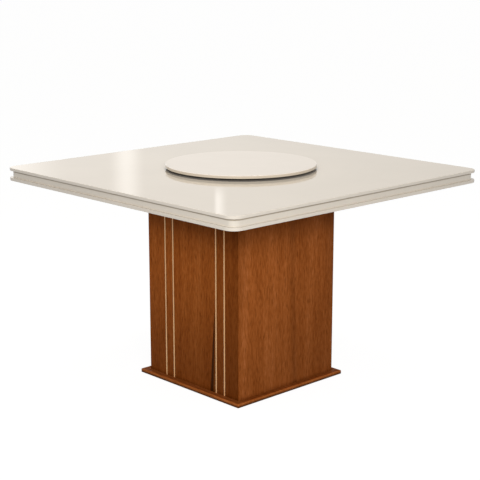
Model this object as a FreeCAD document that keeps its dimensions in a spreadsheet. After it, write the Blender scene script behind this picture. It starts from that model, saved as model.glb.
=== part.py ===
import FreeCAD, Part
import os
import re
import Sketcher

# Square pedestal dining table with a turntable in the middle of its top.
# Millimetres, +Z up, origin on the floor under the middle of the table.
# The faces of the pedestal with the inlay lines look towards -Y and +Y.

# Driving sizes, one row of the sheet each.
SIZES = {
    # Table top: a thin plate over a recessed core frame over a thin lip
    "top_side": 1200.0,
    "corner_radius": 40.0,
    "panel_thickness": 10.5,
    "core_height": 25.0,
    "core_width": 70.0,
    "lip_thickness": 10.5,
    "edge_recess": 12.0,
    "panel_arris": 2.0,
    "lip_arris": 1.5,
    # Battens under the plate
    "batten_width": 80.0,
    "batten_screw_margin": 60.0,
    # Pedestal
    "pedestal_side": 475.0,
    "wall_height": 722.0,
    "wall_thickness": 15.0,
    "board_thickness": 18.0,
    "post_side": 40.0,
    # Inlay lines, two pairs on a face, set in from its left and right edges
    "inlay_width": 6.0,
    "inlay_depth": 2.0,
    "inlay_proud": 0.3,
    "inlay_left_inset": 92.5,
    "inlay_right_inset": 71.0,
    "inlay_pair_pitch": 42.5,
    # Plinth and floor glides
    "plinth_overhang": 26.0,
    "plinth_thickness": 13.0,
    "plinth_arris": 3.0,
    "glide_height": 3.0,
    "glide_radius": 12.0,
    "glide_inset": 30.0,
    "glide_pin_radius": 1.5,
    # Countersunk wood screws
    "screw_head_radius": 4.0,
    "screw_shank_radius": 2.0,
    "plinth_screw_bite": 30.0,
    "small_head_radius": 3.0,
    "small_shank_radius": 1.5,
    # Bolts from the pedestal's top board up into the battens, set back from the posts
    "bolt_setback": 22.5,
    "bolt_radius": 3.0,
    "bolt_head_radius": 5.8,
    "bolt_head_height": 4.0,
    "washer_radius": 9.0,
    "washer_thickness": 1.6,
    "insert_radius": 5.0,
    # Turntable disc and its ball bearing
    "disc_diameter": 542.0,
    "disc_thickness": 11.0,
    "disc_gap": 8.5,
    "disc_bevel": 1.5,
    "disc_under_round": 1.5,
    "bearing_height": 10.5,
    "orbit_radius": 75.0,
    "ring_width": 16.0,
    "ring_clearance": 0.8,
    "land_gap": 1.8,
    "ball_radius": 2.25,
    "race_clearance": 0.08,
    "cage_thickness": 0.9,
    "cage_bridge": 0.75,
    "seat_clearance": 1.5,
    # Room round a fastener in its hole
    "hole_clearance": 0.1,
    # How far a cut runs past the face it starts from
    "overrun": 5.0,
}

# How much of the next piece a screw tip, insert or pin goes into.
PANEL_BITE_SHARE = 0.7
DISC_BITE_SHARE = 0.65
INSERT_SHARE = 0.7
GLIDE_PIN_SHARE = 0.7

BALL_COUNT = 12
BEARING_SCREW_COUNT = 4
BATTEN_SCREW_COUNT = 3
CORNER_COUNT = 4
HEX_COUNT = 6

# Each side of the table: its name, its turn about Z and the way it faces.
SIDES = (
    ("front", 0.0, 0, -1),
    ("right", 90.0, 1, 0),
    ("back", 180.0, 0, 1),
    ("left", 270.0, -1, 0),
)

# Levels above the floor
PLINTH_TOP = "(glide_height + plinth_thickness)"
WALL_TOP = f"({PLINTH_TOP} + wall_height)"
BOARD_UNDERSIDE = f"({WALL_TOP} - board_thickness)"
PANEL_UNDERSIDE = f"({WALL_TOP} + core_height)"
TOP_SURFACE = f"({PANEL_UNDERSIDE} + panel_thickness)"
DISC_UNDERSIDE = f"({TOP_SURFACE} + disc_gap)"

# Sizes that follow from others
BATTEN_LENGTH = "(top_side - 2 * edge_recess - 2 * core_width)"
LIP_WIDTH = "(edge_recess + core_width)"
PANEL_BITE = f"({PANEL_BITE_SHARE} * panel_thickness)"
INSERT_LENGTH = f"({INSERT_SHARE} * core_height)"
BOARD_SIDE = "(pedestal_side - 2 * wall_thickness)"
POST_REACH = f"({BOARD_SIDE} / 2 - post_side / 2)"
# The bolts stand clear of the posts, and the outer battens lie over the bolts
BATTEN_PITCH = f"({BOARD_SIDE} / 2 - post_side - bolt_setback)"
PLINTH_SIDE = "(pedestal_side + 2 * plinth_overhang)"
GLIDE_REACH = f"({PLINTH_SIDE} / 2 - glide_inset)"
RACE_LEVEL = "(bearing_height / 2)"
RACE_RADIUS = "(ball_radius + race_clearance)"
FIXED_RING_INSIDE = "(orbit_radius + land_gap / 2)"
FIXED_RING_OUTSIDE = f"({FIXED_RING_INSIDE} + ring_width)"
TURNING_RING_OUTSIDE = "(orbit_radius - land_gap / 2)"
TURNING_RING_INSIDE = f"({TURNING_RING_OUTSIDE} - ring_width)"
RING_HEIGHT = "(bearing_height - ring_clearance)"
SEAT_DEPTH = "(bearing_height - disc_gap)"
DISC_BITE = f"({DISC_BITE_SHARE} * (disc_thickness - {SEAT_DEPTH}))"

# Batten screws: the first one of the grid, and the rows that repeat it
BATTEN_SCREW_SPAN = f"({BATTEN_LENGTH} - 2 * batten_screw_margin)"
BATTEN_FIRST_SCREW = f"(-{BATTEN_SCREW_SPAN} / 2)"
BATTEN_SCREW_ALONG = ("X_Axis", BATTEN_SCREW_SPAN, BATTEN_SCREW_COUNT)
BATTENS = (("front", -1), ("middle", 0), ("back", 1))
BATTEN_SCREW_ROWS = (BATTEN_SCREW_ALONG, ("Y_Axis", f"(2 * {BATTEN_PITCH})", len(BATTENS)))
BATTEN_SCREW_LENGTH = f"(core_height + {PANEL_BITE})"
FIXED_SCREW_REACH = f"({FIXED_RING_INSIDE} + ring_width / 2)"
TURNING_SCREW_REACH = f"({TURNING_RING_INSIDE} + ring_width / 2)"

# Middles of the four inlay lines across a face, from its left edge to its right
INLAY_PLACES = (
    "(-pedestal_side / 2 + inlay_left_inset)",
    "(-pedestal_side / 2 + inlay_left_inset + inlay_pair_pitch)",
    "(pedestal_side / 2 - inlay_right_inset - inlay_pair_pitch)",
    "(pedestal_side / 2 - inlay_right_inset)",
)

doc = FreeCAD.newDocument("dining_table")
sheet = doc.addObject("Spreadsheet::Sheet", "Sizes")
for row, (alias, length) in enumerate(SIZES.items(), start=1):
    sheet.set(f"A{row}", alias)
    sheet.set(f"B{row}", str(length))
    sheet.setAlias(f"B{row}", alias)
doc.recompute()

ALIAS = re.compile(r"\b(" + "|".join(SIZES) + r")\b")


def linked(text):
    """Point every size name in an expression at its cell of the sheet."""
    return ALIAS.sub(r"Sizes.\1", text)


def number(text):
    """Present value of an expression in size names."""
    return float(sheet.evalExpression(linked(text)))


def bind(item, place, text):
    """Tie one property of an object to an expression in size names."""
    item.setExpression(place, linked(text))


def new_body(label, x="0", y="0", z="0", turn=0.0):
    """Start a sub-part at a place given in size names, turned about Z."""
    body = doc.addObject("PartDesign::Body", label)
    body.Label = label
    upright = FreeCAD.Rotation(FreeCAD.Vector(0, 0, 1), turn)
    body.Placement = FreeCAD.Placement(FreeCAD.Vector(), upright)
    for axis, text in (("x", x), ("y", y), ("z", z)):
        bind(body, f"Placement.Base.{axis}", text)
    return body


def side_body(label, side, reach, z):
    """Start a sub-part that faces one side of the table, a reach from its axis."""
    _, turn, x_way, y_way = side
    return new_body(label, f"{x_way} * {reach}", f"{y_way} * {reach}", z, turn)


def origin_item(body, role):
    """One plane or axis of a body's own origin."""
    return next(item for item in body.Origin.OriginFeatures if item.Role == role)


def sketch_on(body, role, offset="0"):
    """Start a sketch on one of the body's origin planes, or a set distance off it."""
    sketch = body.newObject("Sketcher::SketchObject", "Sketch")
    sketch.AttachmentSupport = [(origin_item(body, role), "")]
    sketch.MapMode = "FlatFace"
    bind(sketch, "AttachmentOffset.Base.z", offset)
    return sketch


def place_point(sketch, line, end, across, up):
    """Hold one end of a sketch line at a place measured from the sketch's origin."""
    for kind, text in (("DistanceX", across), ("DistanceY", up)):
        held = Sketcher.Constraint(kind, -1, 1, line, end, number(text))
        index = sketch.addConstraint(held)
        bind(sketch, f"Constraints[{index}]", text)


def outline(sketch, corners):
    """Close a polygon through corners, each a pair of expressions."""
    spots = [FreeCAD.Vector(number(across), number(up), 0) for across, up in corners]
    first = sketch.GeometryCount
    for index, spot in enumerate(spots):
        following = spots[(index + 1) % len(spots)]
        sketch.addGeometry(Part.LineSegment(spot, following), False)
    for index, (across, up) in enumerate(corners):
        line = first + index
        previous = first + (index - 1) % len(corners)
        sketch.addConstraint(Sketcher.Constraint("Coincident", previous, 2, line, 1))
        place_point(sketch, line, 1, across, up)


def box_outline(sketch, left, right, low, high):
    """Close a rectangle between two places across and two places up."""
    outline(sketch, [(left, low), (right, low), (right, high), (left, high)])


def circle(sketch, across, up, radius):
    """Add a circle whose middle and radius follow the sheet."""
    middle = FreeCAD.Vector(number(across), number(up), 0)
    normal = FreeCAD.Vector(0, 0, 1)
    round_line = sketch.addGeometry(Part.Circle(middle, normal, number(radius)), False)
    place_point(sketch, round_line, 3, across, up)
    index = sketch.addConstraint(Sketcher.Constraint("Radius", round_line, number(radius)))
    bind(sketch, f"Constraints[{index}]", radius)


def upright_axis(sketch, across):
    """Add a construction line to turn a profile about, standing a set way across."""
    foot = FreeCAD.Vector(number(across), 0, 0)
    head = foot + FreeCAD.Vector(0, number("overrun"), 0)
    line = sketch.addGeometry(Part.LineSegment(foot, head), True)
    place_point(sketch, line, 1, across, "0")
    place_point(sketch, line, 2, across, "overrun")


def pad(body, sketch, height):
    """Raise a sketch into a solid along its normal."""
    feature = body.newObject("PartDesign::Pad", "Pad")
    feature.Profile = sketch
    bind(feature, "Length", height)
    doc.recompute()
    return feature


def checked_cut(body, feature, volume):
    """Recompute a cut and make sure that it took material away."""
    doc.recompute()
    if not feature.Shape.Volume < volume:
        raise RuntimeError(f"a cut in {body.Label} takes nothing away")
    return feature


def pocket(body, sketch, depth):
    """Cut a sketch into the body along the sketch's normal."""
    volume = body.Shape.Volume
    feature = body.newObject("PartDesign::Pocket", "Pocket")
    feature.Profile = sketch
    feature.Reversed = True
    bind(feature, "Length", depth)
    return checked_cut(body, feature, volume)


def revolve(body, sketch, axis="V_Axis"):
    """Turn a profile a full round into a solid."""
    feature = body.newObject("PartDesign::Revolution", "Revolution")
    feature.Profile = sketch
    feature.ReferenceAxis = (sketch, [axis])
    doc.recompute()
    return feature


def groove(body, sketch, axis="V_Axis"):
    """Turn a profile a full round and cut it from the body."""
    volume = body.Shape.Volume
    feature = body.newObject("PartDesign::Groove", "Groove")
    feature.Profile = sketch
    feature.ReferenceAxis = (sketch, [axis])
    return checked_cut(body, feature, volume)


def edge_names(feature, keep):
    """Names of the edges of a feature that a test keeps."""
    edges = enumerate(feature.Shape.Edges, start=1)
    return [f"Edge{index}" for index, edge in edges if keep(edge)]


def is_upright(edge):
    """Whether an edge runs along Z."""
    start, end = edge.Vertexes[0].Point, edge.Vertexes[-1].Point
    return start.sub(end).Length > 0 and abs(start.z - end.z) == start.sub(end).Length


def fillet(body, base, keep, radius):
    """Round the edges of the last feature that a test keeps."""
    feature = body.newObject("PartDesign::Fillet", "Fillet")
    feature.Base = (base, edge_names(base, keep))
    bind(feature, "Radius", radius)
    doc.recompute()
    return feature


def polar(body, original, count):
    """Repeat a feature evenly about the body's Z axis."""
    pattern = body.newObject("PartDesign::PolarPattern", "PolarPattern")
    pattern.Originals = [original]
    pattern.Axis = (origin_item(body, "Z_Axis"), [""])
    pattern.Angle = 360
    pattern.Occurrences = count
    body.Tip = pattern
    doc.recompute()
    return pattern


def in_rows(body, original, rows):
    """Repeat a feature along the body's axes: each row is an axis, a length and a count."""
    pattern = body.newObject("PartDesign::MultiTransform", "MultiTransform")
    pattern.Originals = [original]
    steps = []
    for role, length, count in rows:
        step = body.newObject("PartDesign::LinearPattern", "LinearPattern")
        step.Direction = (origin_item(body, role), [""])
        bind(step, "Length", length)
        step.Occurrences = count
        steps.append(step)
    pattern.Transformations = steps
    body.Tip = pattern
    doc.recompute()
    return pattern


def screw_outline(sketch, axis, start, way, head, shank, length):
    """Half of a countersunk screw, or of its hole, from its flush head to its tip.

    way is + for a tip that points up and - for one that points down.
    """
    neck = f"({start} {way} ({head} - {shank}))"
    shoulder = f"({start} {way} ({length} - {shank}))"
    tip = f"({start} {way} {length})"
    corners = [
        (axis, start),
        (f"{axis} + {head}", start),
        (f"{axis} + {shank}", neck),
        (f"{axis} + {shank}", shoulder),
        (axis, tip),
    ]
    outline(sketch, corners)
    upright_axis(sketch, axis)


def loose(radius):
    """A radius with the room that a hole leaves round a fastener."""
    return f"({radius} + hole_clearance)"


def top_panel():
    """The glossy square plate, with pilot holes for the batten and bearing screws."""
    body = new_body("top_panel", z=PANEL_UNDERSIDE)
    sketch = sketch_on(body, "XY_Plane")
    box_outline(sketch, "-top_side / 2", "top_side / 2", "-top_side / 2", "top_side / 2")
    plate = pad(body, sketch, "panel_thickness")
    rounded = fillet(body, plate, is_upright, "corner_radius")
    fillet(body, rounded, lambda edge: not is_upright(edge), "panel_arris")

    below = sketch_on(body, "XY_Plane")
    circle(below, BATTEN_FIRST_SCREW, f"-{BATTEN_PITCH}", loose("screw_shank_radius"))
    pilot = pocket(body, below, f"({PANEL_BITE} + hole_clearance)")
    in_rows(body, pilot, BATTEN_SCREW_ROWS)

    above = sketch_on(body, "XY_Plane", f"(panel_thickness - {PANEL_BITE} - hole_clearance)")
    circle(above, FIXED_SCREW_REACH, "0", loose("small_shank_radius"))
    ring_pilot = pocket(body, above, f"({PANEL_BITE} + hole_clearance + overrun)")
    polar(body, ring_pilot, BEARING_SCREW_COUNT)


def rail(label, side, reach, level, length, width, height):
    """A straight rail whose outer face looks to one side of the table."""
    body = side_body(label, side, reach, level)
    sketch = sketch_on(body, "XY_Plane")
    box_outline(sketch, f"-{length} / 2", f"{length} / 2", "0", width)
    return body, pad(body, sketch, height)


def on_outer_face(edge):
    """Whether an edge lies in a rail's outer face."""
    return max(abs(vertex.Y) for vertex in edge.Vertexes) < number("hole_clearance")


def core_rails():
    """The recessed band: front and back run through, the sides fit between them."""
    reach = "(top_side / 2 - edge_recess)"
    for side in SIDES:
        through = side[0] in ("front", "back")
        length = f"(2 * {reach})" if through else BATTEN_LENGTH
        body, bar = rail(
            f"core_rail_{side[0]}", side, reach, WALL_TOP, length, "core_width", "core_height"
        )
        if through:
            corner = "(corner_radius - edge_recess)"
            fillet(body, bar, lambda edge: is_upright(edge) and on_outer_face(edge), corner)


def lip_rails():
    """The lower lip: the sides run through, front and back fit between them."""
    level = f"({WALL_TOP} - lip_thickness)"
    for side in SIDES:
        through = side[0] in ("left", "right")
        length = "top_side" if through else BATTEN_LENGTH
        body, bar = rail(
            f"lip_rail_{side[0]}", side, "(top_side / 2)", level, length, LIP_WIDTH, "lip_thickness"
        )
        if through:
            bar = fillet(
                body, bar, lambda edge: is_upright(edge) and on_outer_face(edge), "corner_radius"
            )
            inner = number(LIP_WIDTH)
            fillet(
                body,
                bar,
                lambda edge: not is_upright(edge)
                and min(vertex.Y for vertex in edge.Vertexes) < inner - number("hole_clearance"),
                "lip_arris",
            )
        else:
            fillet(
                body, bar, lambda edge: on_outer_face(edge) and not is_upright(edge), "lip_arris"
            )


def battens():
    """Three bars under the plate; the outer two hold the threaded inserts."""
    for name, way in BATTENS:
        body = new_body(f"batten_{name}", y=f"{way} * {BATTEN_PITCH}", z=WALL_TOP)
        sketch = sketch_on(body, "XY_Plane")
        half = f"{BATTEN_LENGTH} / 2"
        box_outline(sketch, f"-{half}", half, "-batten_width / 2", "batten_width / 2")
        pad(body, sketch, "core_height")

        profile = sketch_on(body, "XZ_Plane")
        screw_outline(
            profile, BATTEN_FIRST_SCREW, "0", "+", loose("screw_head_radius"),
            loose("screw_shank_radius"), f"({BATTEN_SCREW_LENGTH} + overrun)",
        )
        hole = groove(body, profile, "Axis0")
        in_rows(body, hole, (BATTEN_SCREW_ALONG,))
        if way:
            sockets = sketch_on(body, "XY_Plane")
            for across in (f"-{BATTEN_PITCH}", BATTEN_PITCH):
                circle(sockets, across, "0", "insert_radius")
            pocket(body, sockets, INSERT_LENGTH)


def batten_screws():
    """Countersunk screws up through the battens into the plate, as one group."""
    body = new_body("batten_screws", z=WALL_TOP)
    profile = sketch_on(body, "XZ_Plane", BATTEN_PITCH)
    screw_outline(
        profile, BATTEN_FIRST_SCREW, "0", "+", "screw_head_radius", "screw_shank_radius",
        BATTEN_SCREW_LENGTH,
    )
    screw = revolve(body, profile, "Axis0")
    in_rows(body, screw, BATTEN_SCREW_ROWS)


def pedestal_top_board():
    """The board inside the pedestal's head that the table top is bolted to."""
    body = new_body("pedestal_top_board", z=BOARD_UNDERSIDE)
    sketch = sketch_on(body, "XY_Plane")
    half = f"{BOARD_SIDE} / 2"
    box_outline(sketch, f"-{half}", half, f"-{half}", half)
    pad(body, sketch, "board_thickness")
    hole = sketch_on(body, "XY_Plane")
    circle(hole, BATTEN_PITCH, BATTEN_PITCH, loose("bolt_radius"))
    polar(body, pocket(body, hole, "(board_thickness + overrun)"), CORNER_COUNT)


def top_bolts():
    """Hexagon bolts from below the top board up to the end of the inserts."""
    body = new_body("top_bolts", z=BOARD_UNDERSIDE)
    profile = sketch_on(body, "XZ_Plane", BATTEN_PITCH)
    tip = f"(board_thickness + {INSERT_LENGTH})"
    box_outline(
        profile, BATTEN_PITCH, f"({BATTEN_PITCH} + bolt_radius)", "-washer_thickness", tip
    )
    upright_axis(profile, BATTEN_PITCH)
    shank = revolve(body, profile, "Axis0")
    polar(body, shank, CORNER_COUNT)

    hexagon = sketch_on(body, "XY_Plane", "(-washer_thickness - bolt_head_height)")
    corners = []
    for index in range(HEX_COUNT):
        angle = 360 / HEX_COUNT * index
        across = f"({BATTEN_PITCH} + bolt_head_radius * cos({angle}))"
        corners.append((across, f"(-{BATTEN_PITCH} + bolt_head_radius * sin({angle}))"))
    outline(hexagon, corners)
    head = pad(body, hexagon, "bolt_head_height")
    polar(body, head, CORNER_COUNT)


def sleeve(label, low, high, inside, outside):
    """A group of four round sleeves on the bolts' axes."""
    body = new_body(label, z=BOARD_UNDERSIDE)
    profile = sketch_on(body, "XZ_Plane", BATTEN_PITCH)
    box_outline(
        profile, f"({BATTEN_PITCH} + {inside})", f"({BATTEN_PITCH} + {outside})", low, high
    )
    upright_axis(profile, BATTEN_PITCH)
    polar(body, revolve(body, profile, "Axis0"), CORNER_COUNT)


def pedestal_walls():
    """Four mitred panels; front and back are grooved for the inlay lines."""
    half = "pedestal_side / 2"
    for side in SIDES:
        body = side_body(f"pedestal_{side[0]}_panel", side, f"({half})", PLINTH_TOP)
        sketch = sketch_on(body, "XY_Plane")
        inner = f"({half} - wall_thickness)"
        outline(
            sketch,
            [
                (f"-{half}", "0"),
                (half, "0"),
                (inner, "wall_thickness"),
                (f"-{inner}", "wall_thickness"),
            ],
        )
        pad(body, sketch, "wall_height")
        if side[0] in ("front", "back"):
            grooves = sketch_on(body, "XY_Plane")
            for middle in INLAY_PLACES:
                left, right = inlay_sides(middle)
                box_outline(grooves, left, right, "-overrun", "inlay_depth")
            pocket(body, grooves, "(wall_height + overrun)")


def inlay_sides(middle):
    """Left and right side of an inlay line about its middle."""
    return f"({middle} - inlay_width / 2)", f"({middle} + inlay_width / 2)"


def inlay_lines():
    """Pale strips let into the front and back panels, a touch proud of the face."""
    for side in SIDES:
        if side[0] in ("left", "right"):
            continue
        for index, middle in enumerate(INLAY_PLACES, start=1):
            body = side_body(
                f"inlay_{side[0]}_{index}", side, "(pedestal_side / 2)", PLINTH_TOP
            )
            sketch = sketch_on(body, "XY_Plane")
            left, right = inlay_sides(middle)
            box_outline(sketch, left, right, "-inlay_proud", "inlay_depth")
            pad(body, sketch, "wall_height")


def corner_posts():
    """Square posts in the pedestal's corners, drilled from below for the plinth screws."""
    for name, x_way, y_way in (
        ("front_left", -1, -1),
        ("front_right", 1, -1),
        ("back_right", 1, 1),
        ("back_left", -1, 1),
    ):
        body = new_body(
            f"corner_post_{name}", f"{x_way} * {POST_REACH}", f"{y_way} * {POST_REACH}", PLINTH_TOP
        )
        sketch = sketch_on(body, "XY_Plane")
        box_outline(sketch, "-post_side / 2", "post_side / 2", "-post_side / 2", "post_side / 2")
        pad(body, sketch, "(wall_height - board_thickness)")
        pilot = sketch_on(body, "XY_Plane")
        circle(pilot, "0", "0", loose("screw_shank_radius"))
        pocket(body, pilot, loose("plinth_screw_bite"))


def plinth_board():
    """The foot board with its rounded top edge, screw holes and glide holes."""
    body = new_body("plinth_board", z="glide_height")
    sketch = sketch_on(body, "XY_Plane")
    half = f"{PLINTH_SIDE} / 2"
    box_outline(sketch, f"-{half}", half, f"-{half}", half)
    board = pad(body, sketch, "plinth_thickness")
    top = number("plinth_thickness")
    room = number("hole_clearance")
    fillet(
        body, board, lambda edge: min(vertex.Z for vertex in edge.Vertexes) > top - room,
        "plinth_arris",
    )

    profile = sketch_on(body, "XZ_Plane", POST_REACH)
    screw_outline(
        profile, POST_REACH, "0", "+", loose("screw_head_radius"), loose("screw_shank_radius"),
        "(plinth_thickness + plinth_screw_bite)",
    )
    polar(body, groove(body, profile, "Axis0"), CORNER_COUNT)

    pin = sketch_on(body, "XY_Plane")
    circle(pin, GLIDE_REACH, GLIDE_REACH, loose("glide_pin_radius"))
    depth = f"({GLIDE_PIN_SHARE} * plinth_thickness + hole_clearance)"
    polar(body, pocket(body, pin, depth), CORNER_COUNT)


def plinth_screws():
    """Countersunk screws up through the plinth into the posts, as one group."""
    body = new_body("plinth_screws", z="glide_height")
    profile = sketch_on(body, "XZ_Plane", POST_REACH)
    screw_outline(
        profile, POST_REACH, "0", "+", "screw_head_radius", "screw_shank_radius",
        "(plinth_thickness + plinth_screw_bite)",
    )
    polar(body, revolve(body, profile, "Axis0"), CORNER_COUNT)


def floor_glides():
    """Four nail-on glides: a bevelled foot disc with a pin up into the plinth."""
    body = new_body("floor_glides")
    profile = sketch_on(body, "XZ_Plane", GLIDE_REACH)
    bevel = "glide_height / 3"
    pin_tip = f"(glide_height + {GLIDE_PIN_SHARE} * plinth_thickness)"
    outline(
        profile,
        [
            (GLIDE_REACH, "0"),
            (f"({GLIDE_REACH} + glide_radius - {bevel})", "0"),
            (f"({GLIDE_REACH} + glide_radius)", bevel),
            (f"({GLIDE_REACH} + glide_radius)", "glide_height"),
            (f"({GLIDE_REACH} + glide_pin_radius)", "glide_height"),
            (f"({GLIDE_REACH} + glide_pin_radius)", f"({pin_tip} - glide_pin_radius)"),
            (GLIDE_REACH, pin_tip),
        ],
    )
    upright_axis(profile, GLIDE_REACH)
    polar(body, revolve(body, profile, "Axis0"), CORNER_COUNT)


def bearing_ring(label, inside, outside, low, high, screw_reach, screw_start, way):
    """One race ring: a flat ring with a ball groove and countersunk screw holes."""
    body = new_body(label, z=TOP_SURFACE)
    profile = sketch_on(body, "XZ_Plane")
    box_outline(profile, inside, outside, low, high)
    revolve(body, profile)
    race = sketch_on(body, "XZ_Plane")
    circle(race, "orbit_radius", RACE_LEVEL, RACE_RADIUS)
    groove(body, race)
    hole = sketch_on(body, "XZ_Plane")
    screw_outline(
        hole, screw_reach, screw_start, way, loose("small_head_radius"),
        loose("small_shank_radius"), "(bearing_height + overrun)",
    )
    polar(body, groove(body, hole, "Axis0"), BEARING_SCREW_COUNT)


def bearing_screws(label, screw_reach, screw_start, way, length):
    """The small countersunk screws of one race ring, as one group."""
    body = new_body(label, z=TOP_SURFACE)
    profile = sketch_on(body, "XZ_Plane")
    screw_outline(
        profile, screw_reach, screw_start, way, "small_head_radius", "small_shank_radius", length
    )
    polar(body, revolve(body, profile, "Axis0"), BEARING_SCREW_COUNT)


def bearing():
    """Fixed and turning race rings with their screws, the balls and the ball cage."""
    bearing_ring(
        "bearing_fixed_ring", FIXED_RING_INSIDE, FIXED_RING_OUTSIDE, "0", RING_HEIGHT,
        FIXED_SCREW_REACH, RING_HEIGHT, "-",
    )
    bearing_ring(
        "bearing_turning_ring", TURNING_RING_INSIDE, TURNING_RING_OUTSIDE, "ring_clearance",
        "bearing_height", TURNING_SCREW_REACH, "ring_clearance", "+",
    )
    bearing_screws(
        "fixed_ring_screws", FIXED_SCREW_REACH, RING_HEIGHT, "-", f"({RING_HEIGHT} + {PANEL_BITE})"
    )
    bearing_screws(
        "turning_ring_screws", TURNING_SCREW_REACH, "ring_clearance", "+",
        f"({RING_HEIGHT} + {DISC_BITE})",
    )

    cage = new_body("ball_cage", z=TOP_SURFACE)
    band = sketch_on(cage, "XZ_Plane")
    hole_radius = loose("ball_radius")
    reach = f"({hole_radius} + cage_bridge)"
    box_outline(
        band, "(orbit_radius - cage_thickness / 2)", "(orbit_radius + cage_thickness / 2)",
        f"({RACE_LEVEL} - {reach})", f"({RACE_LEVEL} + {reach})",
    )
    revolve(cage, band)
    window = sketch_on(cage, "YZ_Plane")
    circle(window, "0", RACE_LEVEL, hole_radius)
    polar(cage, pocket(cage, window, "(orbit_radius + overrun)"), BALL_COUNT)

    balls = new_body("bearing_balls", z=TOP_SURFACE)
    ball = balls.newObject("PartDesign::AdditiveSphere", "Ball")
    bind(ball, "Radius", "ball_radius")
    bind(ball, "Placement.Base.x", "orbit_radius")
    bind(ball, "Placement.Base.z", RACE_LEVEL)
    doc.recompute()
    polar(balls, ball, BALL_COUNT)


def turntable_disc():
    """The round glossy disc: bevelled rim, bearing seat and screw pilots underneath."""
    body = new_body("turntable_disc", z=DISC_UNDERSIDE)
    profile = sketch_on(body, "XZ_Plane")
    rim = "(disc_diameter / 2)"
    seat_radius = f"({FIXED_RING_OUTSIDE} + seat_clearance)"
    outline(
        profile,
        [
            ("0", SEAT_DEPTH),
            (seat_radius, SEAT_DEPTH),
            (seat_radius, "0"),
            (rim, "0"),
            (rim, "(disc_thickness - disc_bevel)"),
            (f"({rim} - disc_bevel)", "disc_thickness"),
            ("0", "disc_thickness"),
        ],
    )
    disc = revolve(body, profile)
    low = number("hole_clearance")
    edge_radius = number(rim) - low

    def is_under_rim(edge):
        box = edge.BoundBox
        return box.ZMax < low and box.XMax > edge_radius

    fillet(body, disc, is_under_rim, "disc_under_round")
    pilot = sketch_on(body, "XY_Plane", SEAT_DEPTH)
    circle(pilot, TURNING_SCREW_REACH, "0", loose("small_shank_radius"))
    polar(body, pocket(body, pilot, loose(DISC_BITE)), BEARING_SCREW_COUNT)


def build():
    """Model every sub-part of the table."""
    top_panel()
    core_rails()
    lip_rails()
    battens()
    batten_screws()
    pedestal_top_board()
    top_bolts()
    sleeve("bolt_washers", "-washer_thickness", "0", loose("bolt_radius"), "washer_radius")
    sleeve(
        "thread_inserts", "board_thickness", f"(board_thickness + {INSERT_LENGTH})",
        loose("bolt_radius"), "insert_radius",
    )
    pedestal_walls()
    inlay_lines()
    corner_posts()
    plinth_board()
    plinth_screws()
    floor_glides()
    bearing()
    turntable_disc()
    doc.recompute()


def write_parts():
    """Check every object of the document, then write each sub-part to its own file."""
    for item in doc.Objects:
        if "Invalid" in item.State or "Error" in item.State:
            raise RuntimeError(f"{item.Label} failed: {item.State}")
    bodies = [item for item in doc.Objects if item.isDerivedFrom("PartDesign::Body")]
    for body in bodies:
        if body.Shape.isNull() or not body.Shape.isValid():
            raise RuntimeError(f"{body.Label} has no valid shape")
    os.makedirs("parts", exist_ok=True)
    for body in bodies:
        body.Shape.exportStep(os.path.join("parts", f"{body.Label}.step"))
        solids = len(body.Shape.Solids)
        print(f"{body.Label}: {solids} solid(s), {body.Shape.Volume / 1000.0:.1f} cm3")


build()
write_parts()
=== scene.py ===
"""Looks of a square pedestal dining table with a turntable in the middle of its top.

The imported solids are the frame. Boards, rails, panels, disc, screws and glides are laid over
them as finer surfaces, every piece gets its finish, and a plain studio shows the table.
Metres, +Z up, origin on the floor under the middle of the table.
"""

import logging
import math
from dataclasses import dataclass, field
from enum import Enum
from functools import cache, partial, reduce
from typing import Container, Iterable, NamedTuple, Sequence, Union

import bmesh
import bpy
import numpy as np
from mathutils import Color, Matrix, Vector


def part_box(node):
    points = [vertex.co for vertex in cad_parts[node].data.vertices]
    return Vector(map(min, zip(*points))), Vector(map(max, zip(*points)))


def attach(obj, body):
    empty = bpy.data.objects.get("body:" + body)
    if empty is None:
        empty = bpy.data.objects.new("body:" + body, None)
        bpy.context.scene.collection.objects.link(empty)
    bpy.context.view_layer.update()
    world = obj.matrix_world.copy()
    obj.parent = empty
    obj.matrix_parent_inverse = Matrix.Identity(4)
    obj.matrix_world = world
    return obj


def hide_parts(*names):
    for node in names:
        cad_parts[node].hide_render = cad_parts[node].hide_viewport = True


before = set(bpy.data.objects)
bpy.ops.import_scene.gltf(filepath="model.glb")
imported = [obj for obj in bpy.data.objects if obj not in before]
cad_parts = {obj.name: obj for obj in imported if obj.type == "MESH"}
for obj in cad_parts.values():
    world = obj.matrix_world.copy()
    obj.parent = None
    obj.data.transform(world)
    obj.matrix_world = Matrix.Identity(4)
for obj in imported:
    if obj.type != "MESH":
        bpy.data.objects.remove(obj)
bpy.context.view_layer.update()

LOG = logging.getLogger("dining_table")
TABLE, TURNTABLE, BALL_TRAIN = "table", "turntable", "ball_train"

Array = np.ndarray
Material = bpy.types.Material
Node = bpy.types.Node
Socket = bpy.types.NodeSocket
Tree = bpy.types.NodeTree
Feed = Union[Socket, float, tuple]
Pair = tuple[float, float]
Triple = tuple[float, float, float]
Linear = tuple[float, float, float, float]
Box = tuple[Vector, Vector]

MILLI = 0.001
QUARTER = math.pi / 2
FULL_TURN = 4 * QUARTER
QUARTER_TURN = np.array([(0.0, 1.0, 0.0), (-1.0, 0.0, 0.0), (0.0, 0.0, 1.0)])
UP = Vector((0.0, 0.0, 1.0))
ARC_STEPS = 20
EDGE_STEPS = 8
HOLD = 0.4 * MILLI
WELD = 1e-7
SHARP_TURN = math.radians(32.0)
FULL_LEVEL = 255.0
LINE_COUNT = 4


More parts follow.
